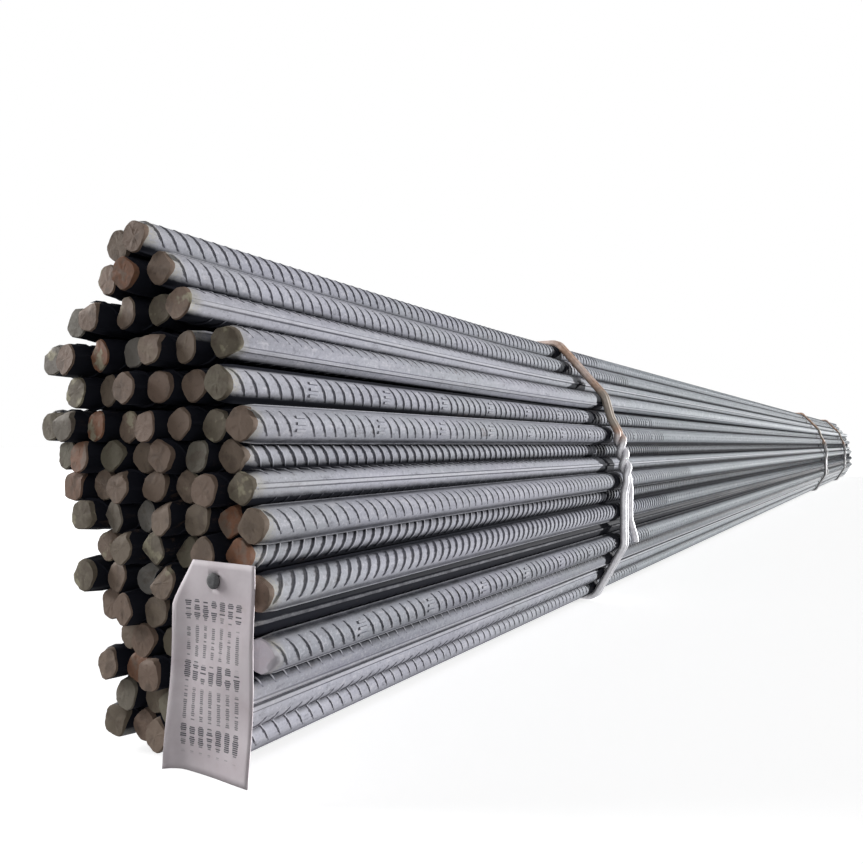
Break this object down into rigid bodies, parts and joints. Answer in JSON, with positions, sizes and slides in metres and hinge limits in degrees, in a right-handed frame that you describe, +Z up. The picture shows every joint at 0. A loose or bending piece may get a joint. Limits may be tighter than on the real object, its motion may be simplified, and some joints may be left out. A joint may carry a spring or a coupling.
{
  "type": "rebar bundle",
  "caption": "Tied bundle of straight ribbed steel reinforcing bars, lying on its wire ties, with a hanging label tag on a stud at one end.",
  "frame": {"origin": "on the floor, under the middle of the bundle's box", "axes": "+X along the bars, away from the tagged end; +Z up; the knots of the ties are at -Y"},
  "size_m": [6.0376, 0.2393, 0.3875],
  "materials": {
    "ribbed_bar_steel": "hot rolled mill scale, light rust",
    "tie_wire_steel": "drawn wire, rusty in places",
    "label_stock": "matt white label, printed and soiled",
    "stud_steel": "dull grey"
  },
  "bodies": {
    "root": {"bar_layer_01": "ribbed_bar_steel", "bar_layer_02": "ribbed_bar_steel", "bar_layer_03": "ribbed_bar_steel", "bar_layer_04": "ribbed_bar_steel", "bar_layer_05": "ribbed_bar_steel", "bar_layer_06": "ribbed_bar_steel", "bar_layer_07": "ribbed_bar_steel", "bar_layer_08": "ribbed_bar_steel", "bar_layer_09": "ribbed_bar_steel", "bar_layer_10": "ribbed_bar_steel", "bar_layer_11": "ribbed_bar_steel", "bar_layer_12": "ribbed_bar_steel", "bar_layer_13": "ribbed_bar_steel", "bar_layer_14": "ribbed_bar_steel", "bar_layer_15": "ribbed_bar_steel", "bar_layer_16": "ribbed_bar_steel", "tie_wire_near": "tie_wire_steel", "tie_wire_middle": "tie_wire_steel", "tie_wire_far": "tie_wire_steel", "label_tag": "label_stock", "tag_stud": "stud_steel"}
  },
  "joints": []
}
